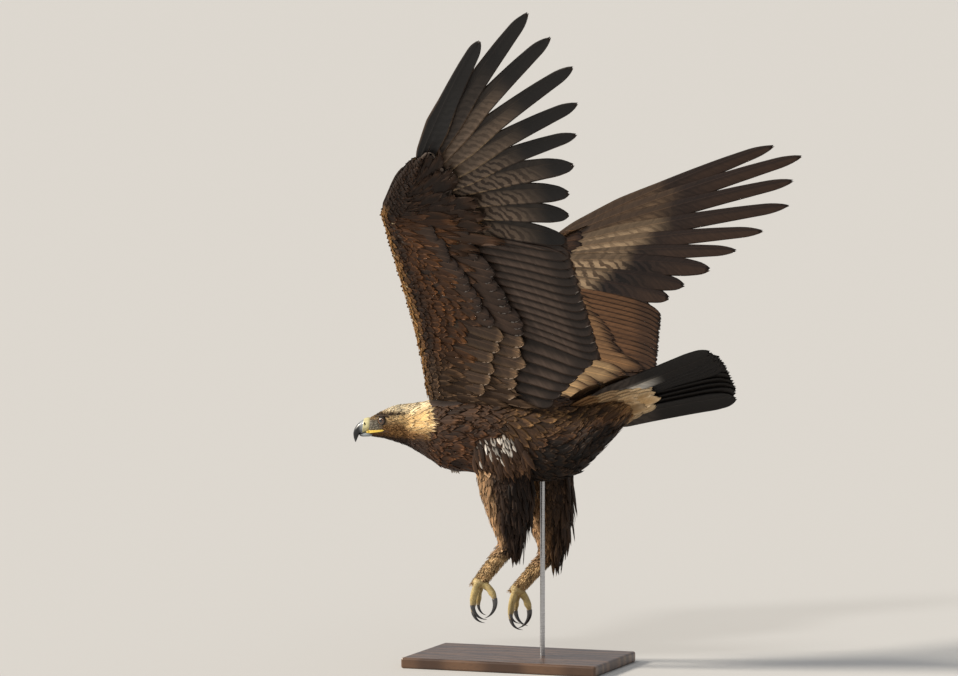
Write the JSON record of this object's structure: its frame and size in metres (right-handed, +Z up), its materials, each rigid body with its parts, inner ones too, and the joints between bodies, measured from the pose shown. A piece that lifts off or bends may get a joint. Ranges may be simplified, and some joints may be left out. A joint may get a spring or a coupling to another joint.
{
  "type": "golden eagle model",
  "caption": "Life-size golden eagle in flight, wings raised and legs hanging, with layered flight and tail feathers, on a plain stand.",
  "frame": {"origin": "middle of the underside of the display base", "axes": "+Z up; the bird flies towards -X with its left side towards -Y"},
  "size_m": [0.7901, 1.3414, 1.3506],
  "materials": {
    "nape_feathers": "soft pointed golden feathers",
    "body_feathers": "dark brown feathers with paler edges",
    "leg_feathers": "short buff feathers",
    "toe_skin": "scaly yellow skin",
    "claw": "glossy black horn",
    "bill": "horn, blue-grey with a black tip and a yellow cere",
    "eye": "wet brown eye",
    "stand_wood": "satin dark wood",
    "stand_metal": "satin"
  },
  "bodies": {
    "root": {"head": "nape_feathers", "eye_left": "eye", "eye_right": "eye", "bill_upper": "bill", "bill_lower": "bill", "neck": "nape_feathers", "torso": "body_feathers", "tail": "body_feathers", "wing_left": "body_feathers", "wing_right": "body_feathers", "thigh_left": "body_feathers", "tarsus_left": "leg_feathers", "toe_inner_left": "toe_skin", "toe_middle_left": "toe_skin", "toe_outer_left": "toe_skin", "toe_hind_left": "toe_skin", "claw_inner_left": "claw", "claw_middle_left": "claw", "claw_outer_left": "claw", "claw_hind_left": "claw", "thigh_right": "body_feathers", "tarsus_right": "leg_feathers", "toe_inner_right": "toe_skin", "toe_middle_right": "toe_skin", "toe_outer_right": "toe_skin", "toe_hind_right": "toe_skin", "claw_inner_right": "claw", "claw_middle_right": "claw", "claw_outer_right": "claw", "claw_hind_right": "claw", "stand_base": "stand_wood", "stand_rod": "stand_metal"}
  },
  "joints": []
}
